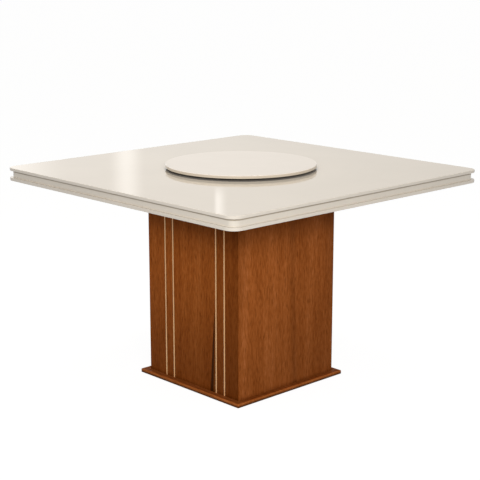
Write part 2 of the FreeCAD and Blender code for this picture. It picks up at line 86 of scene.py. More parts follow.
class GrainRun(Enum):
    """Which way the grain of a board runs, as the turn that lays it along Z."""

    UPRIGHT = (0.0, 0.0, 0.0)
    ALONG_X = (0.0, QUARTER, 0.0)


class Side(Enum):
    """Sides of the table, in turn order from the front, each with its quarter turns about Z."""

    FRONT = 0
    RIGHT = 1
    BACK = 2
    LEFT = 3

    @property
    def label(self) -> str:
        """Name of the side as the nodes spell it."""
        return self.name.lower()

    def beside(self, quarters: int) -> "Side":
        """The side some quarter turns further to the left."""
        return Side((self.value + quarters) % len(Side))


OUTWARD = np.array([(0.0, -1.0), (1.0, 0.0), (0.0, 1.0), (-1.0, 0.0)])
LINED_SIDES = (Side.FRONT, Side.BACK)


def linear(colour: Triple) -> Linear:
    """Turn a display colour, from 0 to 255, into the renderer's linear one with full alpha."""
    return (*Color([part / FULL_LEVEL for part in colour]).from_srgb_to_scene_linear(), 1.0)


def shade(colour: Triple, share: float) -> Triple:
    """A display colour made darker or lighter."""
    return tuple(min(FULL_LEVEL, part * share) for part in colour)


@dataclass
class Surface:
    """A closed mesh in arrays: vertices, quads and many-sided caps."""

    vertices: Array
    quads: Array
    caps: list[Array] = field(default_factory=list)

    @classmethod
    def closed(cls, grid: Array, capped: bool = True) -> "Surface":
        """Join a grid of points that closes round its first parameter.

        Args:
            grid: Points by their place round the closed line and their place across.
            capped: Whether the two ends are flat; otherwise each has to meet in a point.

        Returns:
            The surface, facing out when the line runs to the left.
        """
        around, along = grid.shape[:2]
        starts = np.arange(around) * along
        here = starts[:, None] + np.arange(along - 1)
        following = np.roll(here, -1, axis=0)
        quads = np.stack([here, following, following + 1, here + 1], axis=-1)
        caps = [starts[::-1], starts + along - 1] if capped else []
        return cls(grid.reshape(-1, 3), quads.reshape(-1, 4), caps)

    def at(self, places: Array) -> "Surface":
        """Repeat the surface at several places.

        Args:
            places: One row of X, Y and Z for each copy.

        Returns:
            All the copies as one surface.
        """
        shift = np.arange(len(places)) * len(self.vertices)
        vertices = (places[:, None, :] + self.vertices).reshape(-1, 3)
        quads = (shift[:, None, None] + self.quads).reshape(-1, 4)
        return Surface(vertices, quads, [cap + step for step in shift for cap in self.caps])

    def turned_about_z(self, quarters: int) -> "Surface":
        """The surface after some quarter turns to the left."""
        turn = np.linalg.matrix_power(QUARTER_TURN, quarters)
        return Surface(self.vertices @ turn, self.quads, self.caps)

    def mesh(self, name: str) -> bpy.types.Mesh:
        """Put the arrays into a mesh, weld its seams and poles, and shade it.

        Args:
            name: Name of the mesh.

        Returns:
            The mesh, smooth except where its faces turn sharply.
        """
        mesh = bpy.data.meshes.new(name)
        faces = self.quads.tolist() + [cap.tolist() for cap in self.caps]
        mesh.from_pydata(self.vertices.tolist(), [], faces)
        work = bmesh.new()
        work.from_mesh(mesh)
        bmesh.ops.remove_doubles(work, verts=work.verts, dist=WELD)
        bmesh.ops.dissolve_degenerate(work, edges=work.edges, dist=WELD)
        work.to_mesh(mesh)
        work.free()
        mesh.polygons.foreach_set("use_smooth", np.ones(len(mesh.polygons), dtype=bool))
        mesh.set_sharp_from_angle(angle=SHARP_TURN)
        mesh.update()
        return mesh


def arc(centre: Sequence[float], radius: float, start: float, end: float, steps: int) -> Array:
    """Points of an arc: the centre plus the radius along even angles, given in quarter turns."""
    angle = np.linspace(start, end, steps + 1) * QUARTER
    return np.asarray(centre) + radius * np.stack([np.cos(angle), np.sin(angle)], axis=1)


def ring(steps: int) -> Array:
    """Even points of a circle of radius 1."""
    return arc((0.0, 0.0), 1.0, 0.0, 4.0, steps)[:-1]


def slab(plan: Array, profile: Array, inward: Array, capped: bool = True) -> Surface:
    """Carry an edge profile round a plan.

    Vertex (i, j) is point i of the plan moved by inset j along its inward line, at height j.

    Args:
        plan: Points of a closed line, run to the left.
        profile: Rows of inset and height, from the lower end to the upper.
        inward: How far each point of the plan moves per unit of inset.
        capped: Whether the ends are flat; otherwise each has to meet in a point.

    Returns:
        The closed surface.
    """
    drawn = plan[:, None, :] + inward[:, None, :] * profile[None, :, :1]
    height = np.broadcast_to(profile[None, :, 1:], drawn.shape[:2] + (1,))
    return Surface.closed(np.concatenate([drawn, height], axis=2), capped)


def prism(plan: Array, low: float, high: float) -> Surface:
    """Carry a plan, run to the left, straight up from one height to another."""
    return slab(plan, np.array([(0.0, low), (0.0, high)]), np.zeros_like(plan))


def turned(profile: Array, steps: int, capped: bool = True) -> Surface:
    """Turn a profile of radius and height about Z: vertex (i, j) is row j on the angle i."""
    return slab(np.zeros((steps, 2)), profile, ring(steps), capped)


def eased_edge(level: float, radius: float, way: int) -> Array:
    """One edge of a board, from its flat to its upright.

    It is a quarter circle, and a narrow straight at each end keeps the shading of the wide faces level.

    Args:
        level: Height of the flat.
        radius: Radius of the quarter circle, or 0 for a square edge.
        way: 1 where the upright goes up from the flat, or -1 where it goes down.

    Returns:
        Rows of inset and height.
    """
    if not radius:
        return np.array([(0.0, level)])
    turn = arc((radius, level + way * radius), radius, -way, -2 * way, EDGE_STEPS)
    flat, upright = (radius + HOLD, level), (0.0, level + way * (radius + HOLD))
    return np.concatenate([[flat], turn, [upright]])


def board(box: Box, radius: float, eased: Container[Side], under: float, over: float) -> Surface:
    """Shape of a board that fills a box.

    Where two eased sides meet, the corner is an arc whose inward line points to its middle; a square
    corner has the inward line of the eased side that ends there, if one does.

    Args:
        box: Lowest and highest corner of the box.
        radius: Radius of the rounded corners.
        eased: Sides whose edges are rounded.
        under: Radius of their lower edges, or 0 for square ones.
        over: Radius of their upper edges, or 0 for square ones.

    Returns:
        The board.
    """
    low, high = box
    corners = np.array([(low.x, low.y), (high.x, low.y), (high.x, high.y), (low.x, high.y)])
    ways = [outward * (side in eased) for side, outward in zip(Side, OUTWARD)]
    plan, inward = [], []
    for index, corner in enumerate(corners):
        before, after = ways[index - 1], ways[index]
        if before.any() and after.any():
            bow = arc((0.0, 0.0), 1.0, index - 2, index - 1, ARC_STEPS)
            plan.append(corner - radius * (before + after) + radius * bow)
            inward.append(-bow)
        else:
            plan.append(corner[None])
            inward.append(-(before + after)[None])
    profile = np.concatenate([eased_edge(low.z, under, 1), eased_edge(high.z, over, -1)[::-1]])
    return slab(np.concatenate(plan), profile, np.concatenate(inward))


def rows_over(box: Box, inset: float, rows: int, level: float) -> Array:
    """Places in even rows over a box.

    Args:
        box: Lowest and highest corner of the box.
        inset: Distance of the outer rows from its sides.
        rows: Number of rows each way.
        level: Height of the places.

    Returns:
        One row of X, Y and Z for each place.
    """
    low, high = box
    lanes = (np.linspace(start + inset, end - inset, rows) for start, end in zip(low.xy, high.xy))
    x, y = np.meshgrid(*lanes)
    return np.column_stack([x.ravel(), y.ravel(), np.full(x.size, level)])


class NodeSheet:
    """Fills one node tree; each call adds nodes and gives back an output."""

    mix_inputs = (0, 6, 7)
    mix_result = 2

    def __init__(self, tree: Tree) -> None:
        """Start on an empty tree."""
        self.tree = tree
        tree.nodes.clear()

    def feed(self, target: Socket, value: Feed) -> None:
        """Link an output to an input, or set the input's own value.

        Args:
            target: The input.
            value: An output, a number or a tuple; a colour of three parts is a display colour.
        """
        if isinstance(value, bpy.types.NodeSocket):
            self.tree.links.new(value, target)
        elif target.type == "RGBA" and len(value) == 3:
            target.default_value = linear(value)
        else:
            target.default_value = value

    def node(self, kind: str, *values: Feed, **named: object) -> Node:
        """Add a node.

        Args:
            kind: Blender's name of the node type, after ShaderNode.
            *values: What its inputs get, in their order.
            **named: Properties of the node, and inputs by their names with _ for each space.

        Returns:
            The node.
        """
        node = self.tree.nodes.new(f"ShaderNode{kind}")
        for name, value in named.items():
            if name.islower():
                setattr(node, name, value)
            else:
                self.feed(node.inputs[name.replace("_", " ")], value)
        for target, value in zip(node.inputs, values):
            self.feed(target, value)
        return node

    def parts(self, vector: Socket) -> tuple[Socket, ...]:
        """X, Y and Z of a vector."""
        return tuple(self.node("SeparateXYZ", vector).outputs)

    def mapped(self, vector: Socket, **change: Triple) -> Socket:
        """A vector with a Scale or a Rotation."""
        return self.node("Mapping", vector, **change).outputs[0]

    def math(self, operation: str, *values: Feed) -> Socket:
        """One step of arithmetic, by Blender's name of the operation."""
        return self.node("Math", *values, operation=operation).outputs[0]

    def chain(self, operation: str, values: Iterable[Feed]) -> Socket:
        """One operation carried on over several values."""
        return reduce(partial(self.math, operation), values)

    def apart(self, first: Feed, second: Feed) -> Socket:
        """Distance between two values."""
        return self.math("ABSOLUTE", self.math("SUBTRACT", first, second))

    def average(self, share: float, first: Socket, second: Socket) -> Socket:
        """A share of the first value and the rest of the second."""
        return self.math("MULTIPLY_ADD", first, share, self.math("MULTIPLY", second, 1.0 - share))

    def ease(self, value: Feed, start: float, end: float, low: float = 0.0, high: float = 1.0) -> Socket:
        """Go smoothly from low to high while the value goes from its start to its end."""
        limits = (start, end, low, high)
        return self.node("MapRange", value, *limits, interpolation_type="SMOOTHSTEP").outputs[0]

    def noise(self, vector: Socket, scale: Feed, detail: float) -> Socket:
        """Soft random value from 0 to 1, with some swells in a unit of the vector and finer layers."""
        return self.node("TexNoise", vector, Scale=scale, Detail=detail).outputs[0]

    def bump(self, height: Socket, depth: float, strength: float) -> Socket:
        """Normal of a finely uneven face, from a height of which 1 is the depth in metres."""
        return self.node("Bump", Height=height, Distance=depth, Strength=strength).outputs[0]

    def group(self, tree: Tree, **values: Feed) -> bpy.types.bpy_prop_collection:
        """Outputs of a shared group with these inputs."""
        return self.node("Group", node_tree=tree, **values).outputs

    def blend(self, share: Feed, first: Feed, second: Feed) -> Socket:
        """Blend two colours.

        Args:
            share: How much of the second one.
            first: The first colour.
            second: The second colour.

        Returns:
            The blended colour.
        """
        node = self.node("Mix", data_type="RGBA")
        for index, value in zip(self.mix_inputs, (share, first, second)):
            self.feed(node.inputs[index], value)
        return node.outputs[self.mix_result]


class SharedEffect(NodeSheet):
    """A shader node group that several finishes use: values read at a place."""

    def __init__(self, name: str, takes: Iterable[str], gives: Iterable[str]) -> None:
        """Start the group and its sockets.

        Args:
            name: Name of the group.
            takes: Names of the values that it takes beside the place.
            gives: Names of the values that it gives.
        """
        super().__init__(bpy.data.node_groups.new(name, "ShaderNodeTree"))
        sockets = [("Place", "INPUT", "NodeSocketVector")]
        sockets += [(label, "INPUT", "NodeSocketFloat") for label in takes]
        sockets += [(label, "OUTPUT", "NodeSocketFloat") for label in gives]
        for label, way, kind in sockets:
            self.tree.interface.new_socket(label, in_out=way, socket_type=kind)
        self.takes = self.tree.nodes.new("NodeGroupInput").outputs

    def layer(self, place: Socket, across: float, along: float, detail: float) -> Socket:
        """A noise with some swells in a unit across Z and along it."""
        return self.noise(self.mapped(place, Scale=(across, across, along)), 1.0, detail)

    def give(self, **values: Socket) -> Tree:
        """Feed the outputs.

        Args:
            **values: What each of them gives.

        Returns:
            The finished group.
        """
        result = self.tree.nodes.new("NodeGroupOutput")
        for name, value in values.items():
            self.feed(result.inputs[name], value)
        return self.tree


NOISE_RANGE = (0.3, 0.7)
PORE_RANGE = (0.54, 0.72)
MOTTLE_DETAIL = 3.0
COARSE, FINE, FINE_SHARE = (120.0, 9.0, 3.0), (210.0, 38.0, 2.0), 0.6
DASHES, BROAD = (260.0, 34.0, 1.0), (17.0, 1.1, 2.0)


@cache
def mottle() -> Tree:
    """A value that wanders softly between two limits, for tints and gloss that aren't quite even.

    Returns:
        The shared group.
    """
    effect = SharedEffect("mottle", ("Scale", "Low", "High"), ("Value",))
    place, scale, low, high = effect.takes[:4]
    swell = effect.ease(effect.noise(place, scale, MOTTLE_DETAIL), *NOISE_RANGE)
    return effect.give(Value=effect.math("MULTIPLY_ADD", swell, effect.math("SUBTRACT", high, low), low))


@cache
def grain() -> Tree:
    """Wood grain along Z: long fibres, short dark pores and broad figure, each from 0 to 1.

    Returns:
        The shared group.
    """
    effect = SharedEffect("grain", ("Scale",), ("Fibre", "Pores", "Figure"))
    place, scale = effect.takes[:2]
    place = effect.node("VectorMath", place, operation="SCALE", Scale=scale).outputs[0]
    fibre = effect.average(FINE_SHARE, effect.layer(place, *FINE), effect.layer(place, *COARSE))
    return effect.give(
        Fibre=effect.ease(fibre, *NOISE_RANGE),
        Pores=effect.ease(effect.layer(place, *DASHES), *PORE_RANGE),
        Figure=effect.ease(effect.layer(place, *BROAD), *NOISE_RANGE),
    )


@cache
def box_reach() -> Tree:
    """How far a point lies from a square box's upright corners, and in from its outer faces.

    Returns:
        The shared group.
    """
    effect = SharedEffect("box_reach", ("Half Side",), ("Corner", "Outer"))
    place, half = effect.takes[:2]
    away = [effect.math("ABSOLUTE", part) for part in effect.parts(place)[:2]]
    near, far = (effect.math(pick, *away) for pick in ("MINIMUM", "MAXIMUM"))
    return effect.give(Corner=effect.math("SUBTRACT", half, near), Outer=effect.math("SUBTRACT", half, far))


class Paint(NodeSheet):
    """The nodes of one material, with the table's own metres as its place and the colour so far."""

    def __init__(self, name: str, colour: Feed = (0.0, 0.0, 0.0)) -> None:
        """Start a material.

        Args:
            name: Name of the material.
            colour: Colour to start from.
        """
        self.material = bpy.data.materials.new(name)
        self.material.use_nodes = True
        super().__init__(self.material.node_tree)
        self.place = self.node("TexCoord").outputs["Object"]
        self.colour = colour

    def spray(self, share: Feed, colour: Triple) -> None:
        """Lay a share of another colour over the colour so far."""
        self.colour = self.blend(share, self.colour, colour)

    def mottle(self, low: float, high: float, scale: float) -> Socket:
        """A value that wanders softly between two limits, with some swells in a metre."""
        return self.group(mottle(), Place=self.place, Scale=scale, Low=low, High=high)[0]

    def cloud(self, colour: Triple, dark: float, light: float, scale: float) -> None:
        """Start from a colour that wanders softly between two shades of itself."""
        self.colour = self.blend(self.mottle(0.0, 1.0, scale), shade(colour, dark), shade(colour, light))

    def grain(self, run: GrainRun, scale: float) -> Sequence[Socket]:
        """Fibre, pores and figure of wood whose grain runs one way."""
        return self.group(grain(), Place=self.mapped(self.place, Rotation=run.value), Scale=scale)

    def finish(self, **values: Feed) -> Material:
        """Feed the colour to a surface shader.

        Args:
            **values: More of the shader's inputs.

        Returns:
            The finished material.
        """
        surface = self.node("BsdfPrincipled", Base_Color=self.colour, **values)
        self.node("OutputMaterial", surface.outputs[0])
        return self.material


class Fade(NamedTuple):
    """A smooth change from low to high between two places."""

    start: float
    end: float
    low: float
    high: float


@dataclass(frozen=True)
class Tone:
    """Painted shade on a lacquered piece: another colour below a level or above it, with its own share of
    clear coat.
    """

    colour: Triple
    level: float
    fade: float = 0.8 * MILLI
    below: bool = True
    coat: float = 1.0


@dataclass(frozen=True)
class LacquerFinish:
    """Sprayed and polished cream lacquer under a clear coat, with painted shade at some heights."""

    name: str = "cream_lacquer"
    colour: Triple = (233.0, 223.0, 209.0)
    painted_shades: tuple[Tone, ...] = ()
    cloud: Triple = (0.99, 1.005, 4.0)
    coat_roughness: float = 0.04

    def material(self) -> Material:
        """Build the finish: an even gloss over a hardly uneven tint, and the painted shades over that.

        Returns:
            The material.
        """
        paint = Paint(self.name)
        paint.cloud(self.colour, *self.cloud)
        height = paint.parts(paint.place)[2]
        coat = 1.0
        for tone in self.painted_shades:
            share = paint.ease(height, tone.level - tone.fade, tone.level + tone.fade)
            if tone.below:
                share = paint.math("SUBTRACT", 1.0, share)
            paint.spray(share, tone.colour)
            coat = paint.math("MULTIPLY", coat, paint.math("MULTIPLY_ADD", share, tone.coat - 1.0, 1.0))
        return paint.finish(Coat_Weight=coat, Coat_Roughness=self.coat_roughness, Specular_IOR_Level=0.0)


@dataclass(frozen=True)
class VeneerFinish:
    """Stained brown veneer under a satin varnish, darkened by toning and by painted shade that fade over
    heights and distances.
    """

    name: str
    half_side: float
    run: GrainRun = GrainRun.UPRIGHT
    dark: Triple = (148.0, 76.0, 25.0)
    middle: Triple = (177.0, 99.0, 44.0)
    light: Triple = (198.0, 117.0, 63.0)
    toner_and_shade: Triple = (76.0, 31.0, 0.0)
    fibre_share: float = 0.6
    dark_range: Pair = (0.0, 0.6)
    light_range: Pair = (0.5, 1.0)
    pore_share: float = 0.5
    pore_shade: float = 0.75
    pore_roughness: float = 0.2
    pore_bump: Pair = (0.1 * MILLI, 0.25)
    # Painted shade: darker towards the foot of the walls.
    foot: Fade = Fade(0.0, 0.5, 0.3, 0.0)
    # Painted shade where the walls meet the plinth.
    joint: Fade = Fade(16.0 * MILLI, 30.0 * MILLI, 0.2, 0.0)
    # Painted shade under the table top: darker towards the head of the walls.
    head: Fade = Fade(0.53, 0.625, 0.0, 0.22)
    corner: Fade = Fade(0.0, 75.0 * MILLI, 0.24, 0.0)
    # Painted shade: darker towards the back.
    far_shade_share: float = 0.14
    streak: Fade = Fade(0.0, 25.0 * MILLI, 0.2, 0.0)
    streak_place: float = 40.0 * MILLI
    streak_lean: float = -0.03
    roughness: float = 0.55
    sheen: float = 0.04

    def material(self) -> Material:
        """Build the finish: figure, fibre and pores, and the toner sprayed over them.

        Returns:
            The material.
        """
        paint = Paint(self.name, self.dark)
        fibre, pores, figure = paint.grain(self.run, 1.0)
        tone = paint.average(self.fibre_share, fibre, figure)
        paint.spray(paint.ease(tone, *self.dark_range), self.middle)
        paint.spray(paint.ease(tone, *self.light_range), self.light)
        paint.spray(paint.math("MULTIPLY", pores, self.pore_share), shade(self.dark, self.pore_shade))
        self.tone(paint)
        return paint.finish(
            Roughness=paint.math("MULTIPLY_ADD", pores, self.pore_roughness, self.roughness),
            Normal=paint.bump(paint.math("SUBTRACT", 1.0, pores), *self.pore_bump),
            Specular_IOR_Level=self.sheen,
        )

    def tone(self, paint: Paint) -> None:
        """Darken towards the corners; paint shade towards the foot, just above the plinth, under the top and
        towards the back; and lay a dark streak in the sides.

        Args:
            paint: The bare veneer.
        """
        _, depth, height = paint.parts(paint.place)
        reach = paint.group(box_reach(), Place=paint.place, Half_Side=self.half_side)
        corner = paint.ease(reach["Corner"], *self.corner)
        spray = [paint.math("MAXIMUM", corner, paint.ease(height, *self.foot))]
        # Painted shade towards the back of the pedestal.
        far = Fade(-self.half_side, self.half_side, 0.0, self.far_shade_share)
        away = paint.apart(depth, paint.math("MULTIPLY_ADD", height, self.streak_lean, self.streak_place))
        fades = ((height, self.joint), (height, self.head), (depth, far), (away, self.streak))
        spray += [paint.ease(value, *fade) for value, fade in fades]
        paint.spray(paint.chain("ADD", spray), self.toner_and_shade)


@dataclass(frozen=True)
class Vein:
    """A dark line of the grain on the front panel, with an olive field beside it.

    Its head and foot are places along the face with their heights; it thins out upwards.
    """

    head: Pair = (0.118, 0.335)
    foot: Pair = (0.1015, 0.016)
    fade: float = 0.06
    thin: float = 0.5 * MILLI
    half_width: float = 12.0 * MILLI
    line: Fade = Fade(0.3, 1.0, 0.9, 0.0)
    colour: Triple = (45.6, 18.6, 0.0)
    olive: Triple = (66.0, 42.0, 6.0)
    olive_share: float = 0.35

    def lay(self, paint: Paint, along: Socket, end: float) -> None:
        """Lay the vein into a veneer.

        Args:
            paint: The veneer.
            along: Place along the face.
            end: Where the olive field ends.
        """
        _, depth, height = paint.parts(paint.place)
        (head, head_level), (foot, foot_level) = self.head, self.foot
        fall = paint.math("DIVIDE", paint.math("SUBTRACT", head_level, height), head_level - foot_level)
        middle = paint.math("MULTIPLY_ADD", fall, foot - head, head)
        width = paint.math("MULTIPLY_ADD", fall, self.half_width, self.thin)
        away = paint.math("DIVIDE", paint.apart(along, middle), width)
        started = paint.ease(height, head_level - self.fade, head_level, 1.0, 0.0)
        here = paint.math("MULTIPLY", started, paint.math("LESS_THAN", depth, 0.0))
        past, before = paint.math("GREATER_THAN", along, middle), paint.math("LESS_THAN", along, end)
        paint.spray(paint.chain("MULTIPLY", (past, self.olive_share, before, here)), self.olive)
        paint.spray(paint.math("MULTIPLY", paint.ease(away, *self.line), here), self.colour)


@dataclass(frozen=True)
class LinedVeneerFinish(VeneerFinish):
    """Veneer of the panels that carry inlay lines, darker beside the lines and in the outer fields."""

    dark: Triple = (139.0, 68.0, 17.0)
    middle: Triple = (168.0, 90.0, 33.0)
    light: Triple = (187.0, 107.0, 48.0)
    # Stronger painted shade towards the foot and under the table top than on the plain panels.
    foot: Fade = Fade(0.0, 0.5, 0.5, 0.0)
    head: Fade = Fade(0.53, 0.625, 0.0, 0.42)
    corner: Fade = Fade(0.0, 10.0 * MILLI, 0.12, 0.0)
    far_shade_share: float = 0.0
    lines: tuple[float, ...] = ()
    # A darker margin beside each line.
    dark_line_margin: Fade = Fade(3.0 * MILLI, 7.0 * MILLI, 0.5, 0.0)
    field_share: float = 0.12
    right_share: float = 0.22
    right_reach: float = 4.0 * MILLI
    edge_share: float = 0.12
    vein: Vein = Vein()

    def tone(self, paint: Paint) -> None:
        """Darken towards the right and in a margin beside each line, and lay the vein in.

        Args:
            paint: The bare veneer.
        """
        super().tone(paint)
        x, y, _ = paint.parts(paint.place)
        along = paint.chain("MULTIPLY", (x, paint.math("SIGN", y), -1.0))
        nearest = paint.chain("MINIMUM", [paint.apart(along, line) for line in self.lines])
        _, second, third, last = self.lines
        fades = (
            Fade(second, third, 0.0, self.field_share),
            Fade(third - self.right_reach, third, 0.0, self.right_share),
            Fade(last, self.half_side, 0.0, self.edge_share),
        )
        fields = paint.chain("ADD", [paint.ease(along, *fade) for fade in fades])
        paint.spray(paint.math("MAXIMUM", paint.ease(nearest, *self.dark_line_margin), fields), self.toner_and_shade)
        self.vein.lay(paint, along, third)


@dataclass(frozen=True)
class PlinthFinish(VeneerFinish):
    """Veneer of the plinth: toning and painted shade on top, wear and painted highlight on its upper edge,
    painted shade on its lower one.
    """

    run: GrainRun = GrainRun.ALONG_X
    # Darker further in on the top, towards the wall: toning and painted shade.
    top: Fade = Fade(2.5 * MILLI, 10.0 * MILLI, 0.0, 0.5)
    # Lighter along the upper edge in places: wear and painted highlight.
    edge: Fade = Fade(0.0, 5.0 * MILLI, 1.0, 0.0)
    rubbed: Triple = (206.0, 134.0, 82.0)
    wear_and_highlight_mottle: Triple = (0.0, 0.15, 30.0)
    # Painted shade: the lower part of the plinth's outer face darker.
    low_edge: Fade = Fade(5.0 * MILLI, 15.0 * MILLI, 0.85, 0.0)
    damp: Triple = (44.0, 24.0, 8.0)

    def tone(self, paint: Paint) -> None:
        """Paint toning and shade on the top, wear and highlight along the upper edge, and shade along the
        lower one.

        Args:
            paint: The bare veneer.
        """
        inset = paint.group(box_reach(), Place=paint.place, Half_Side=self.half_side)["Outer"]
        # Toning and painted shade on the top.
        paint.spray(paint.ease(inset, *self.top), self.toner_and_shade)
        # Wear and painted highlight along the upper edge, in places.
        wear_and_highlight = paint.math("MULTIPLY", paint.ease(inset, *self.edge), paint.mottle(*self.wear_and_highlight_mottle))
        paint.spray(wear_and_highlight, self.rubbed)
        # Painted shade on the lower part of the outer face.
        paint.spray(paint.ease(paint.parts(paint.place)[2], *self.low_edge), self.damp)


@dataclass(frozen=True)
class WoodFinish:
    """Bare or oiled wood with its grain one way: inlay strips, battens, boards and posts."""

    name: str
    run: GrainRun
    colour: Triple
    scale: float = 1.0
    contrast: float = 0.14
    fibre_share: float = 0.4
    fibre_roughness: float = 0.12
    fibre_bump: Pair = (0.1 * MILLI, 0.3)
    pore_share: float = 0.3
    pore_shade: float = 0.6
    roughness: float = 0.5

    def material(self) -> Material:
        """Build the finish: fibre and figure about one colour, with fine pores.

        Returns:
            The material.
        """
        paint = Paint(self.name, shade(self.colour, 1.0 - self.contrast))
        fibre, pores, figure = paint.grain(self.run, self.scale)
        light = shade(self.colour, 1.0 + self.contrast / 2)
        paint.spray(paint.average(self.fibre_share, fibre, figure), light)
        paint.spray(paint.math("MULTIPLY", pores, self.pore_share), shade(self.colour, self.pore_shade))
        return paint.finish(
            Roughness=paint.math("MULTIPLY_ADD", fibre, self.fibre_roughness, self.roughness),
            Normal=paint.bump(fibre, *self.fibre_bump),
        )


@dataclass(frozen=True)
class SolidFinish:
    """A piece of one colour with a faint cloud, uneven gloss and a fine skin, here of moulded nylon."""

    name: str
    colour: Triple
    gloss: Pair = (0.39, 0.53)
    gloss_scale: float = 800.0
    cloud: Triple = (0.92, 1.05, 120.0)
    skin_noise: Pair = (1800.0, 1.0)
    skin_bump: Pair = (0.02 * MILLI, 0.3)
    metallic: float = 0.0

    def material(self) -> Material:
        """Build the finish: the cloud in the colour, a gloss that wanders, and the skin.

        Returns:
            The material.
        """
        paint = Paint(self.name)
        paint.cloud(self.colour, *self.cloud)
        return paint.finish(
            Roughness=paint.mottle(*self.gloss, self.gloss_scale),
            Metallic=self.metallic,
            Normal=paint.bump(self.skin(paint), *self.skin_bump),
        )

    def skin(self, paint: Paint) -> Socket:
        """Height of the skin."""
        return paint.noise(paint.place, *self.skin_noise)


@dataclass(frozen=True)
class MetalFinish(SolidFinish):
    """Plated, turned or ground metal, with tool marks round the axis where it was turned."""

    gloss_scale: float = 420.0
    cloud: Triple = (0.9, 1.04, 160.0)
    skin_noise: Pair = (900.0, 2.0)
    skin_bump: Pair = (0.01 * MILLI, 0.4)
    metallic: float = 1.0
    mark_height: float = 0.0
    mark_pitch: float = 0.6 * MILLI

    def skin(self, paint: Paint) -> Socket:
        """Height of the rubbed skin and its tool marks, a sine of the distance from the axis.

        Args:
            paint: The material.

        Returns:
            The height.
        """
        squares = [paint.math("MULTIPLY", part, part) for part in paint.parts(paint.place)[:2]]
        radius = paint.math("SQRT", paint.math("ADD", *squares))
        marks = paint.math("SINE", paint.math("MULTIPLY", radius, FULL_TURN / self.mark_pitch))
        return paint.math("MULTIPLY_ADD", marks, self.mark_height, super().skin(paint))


@dataclass(frozen=True)
class Piece:
    """A new piece of the table: its name, body, material slot and the nodes that it stands for."""

    name: str
    body: str
    slot: str
    nodes: tuple[str, ...]

    def add(self, surface: Surface, material: Material) -> None:
        """Make the piece's object, which rides on its body.

        Args:
            surface: Its shape.
            material: Its finish.
        """
        item = bpy.data.objects.new(self.name, surface.mesh(self.name))
        item.data.materials.append(material)
        bpy.context.scene.collection.objects.link(item)
        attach(item, self.body)
        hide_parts(*self.nodes)
        LOG.info("%s: %d faces, rides on %s", self.name, len(item.data.polygons), self.body)


def dress(nodes: Iterable[str], material: Material) -> None:
    """Give nodes that stay as they are a finish.

    Args:
        nodes: Names of the nodes.
        material: The finish.
    """
    for name in nodes:
        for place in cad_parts[name].material_slots:
            place.material = material
        LOG.info("%s: kept, dressed in %s", name, material.name)


@dataclass
class TableTop:
    """The glossy plate, the recessed band under it and the lip under that."""

    lacquer: Material
    band: Material
    corner_radius: float = 40.0 * MILLI
    edge_recess: float = 12.0 * MILLI
    plate_arris: float = 2.0 * MILLI
    lip_arris: float = 1.5 * MILLI

    def build(self) -> None:
        """Make the plate and its eight rails.

        The front and back core rails and the other two lip rails run through, so that their rounded ends
        form the table's corners.
        """
        plate = board(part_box("top_panel"), self.corner_radius, Side, self.plate_arris, self.plate_arris)
        Piece("top_plate", TABLE, "cream_lacquer", ("top_panel",)).add(plate, self.lacquer)
        recessed = self.corner_radius - self.edge_recess
        layers = (
            ("core_rail", (Side.FRONT, Side.BACK), recessed, 0.0, self.band),
            ("lip_rail", (Side.RIGHT, Side.LEFT), self.corner_radius, self.lip_arris, self.lacquer),
        )
        for side in Side:
            for layer, through, radius, arris, finish in layers:
                eased = {side, side.beside(1), side.beside(-1)} if side in through else {side}
                node = f"{layer}_{side.label}"
                rail = board(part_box(node), radius, eased, arris, arris)
                Piece(f"{node}_lacquered", TABLE, "cream_lacquer", (node,)).add(rail, finish)


@dataclass
class Pedestal:
    """Four mitred veneered panels with pale lines let into the front and back ones."""

    plain: Material
    lined: Material
    inlay: Material
    eased_corner: float = 1.2 * MILLI
    wall_thickness: float = 15.0 * MILLI
    line_depth: float = 2.0 * MILLI
    line_crown: float = 0.25 * MILLI

    def build(self) -> None:
        """Make the panels and their inlay lines."""
        places = [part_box(f"inlay_front_{number + 1}") for number in range(LINE_COUNT)]
        for side in Side:
            lines = places if side in LINED_SIDES else []
            finish = self.lined if lines else self.plain
            panel = self.panel(lines).turned_about_z(side.value)
            node = f"pedestal_{side.label}_panel"
            Piece(f"{node}_veneered", TABLE, "brown_veneer", (node,)).add(panel, finish)
            for number, place in enumerate(lines):
                line = f"inlay_{side.label}_{number + 1}"
                strip = self.strip(place).turned_about_z(side.value)
                Piece(f"{line}_strip", TABLE, "pale_inlay", (line,)).add(strip, self.inlay)

    def panel(self, lines: Iterable[Box]) -> Surface:
        """Shape of one panel, facing the front.

        Its plan runs along the outer face from one eased corner to the other, down and up each line's
        groove on the way, and back along the two mitres; it is carried straight up.

        Args:
            lines: Boxes of the lines let into it.

        Returns:
            The panel.
        """
        low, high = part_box("pedestal_front_panel")
        ease, face = self.eased_corner, low.y
        middle, inner, floor = -face - ease, -face - self.wall_thickness, face + self.line_depth
        points = [arc((-middle, face + ease), ease, -1.5, -1.0, EDGE_STEPS)]
        for start, end in lines:
            points.append([(start.x, face), (start.x, floor), (end.x, floor), (end.x, face)])
        points.append(arc((middle, face + ease), ease, -1.0, -0.5, EDGE_STEPS))
        points.append([(inner, -inner), (-inner, -inner)])
        return prism(np.concatenate(points), low.z, high.z)

    def strip(self, box: Box) -> Surface:
        """Shape of one line, with a crowned face.

        Across the strip, its face falls off from the middle with the square of the distance.

        Args:
            box: Lowest and highest corner of its box.

        Returns:
            The strip.
        """
        low, high = box
        across = np.linspace(-1.0, 1.0, ARC_STEPS + 1)
        middle, half = (low.x + high.x) / 2, (high.x - low.x) / 2
        front = np.stack([middle + half * across, low.y + self.line_crown * across**2], axis=1)
        return prism(np.concatenate([front, [(high.x, high.y), (low.x, high.y)]]), low.z, high.z)


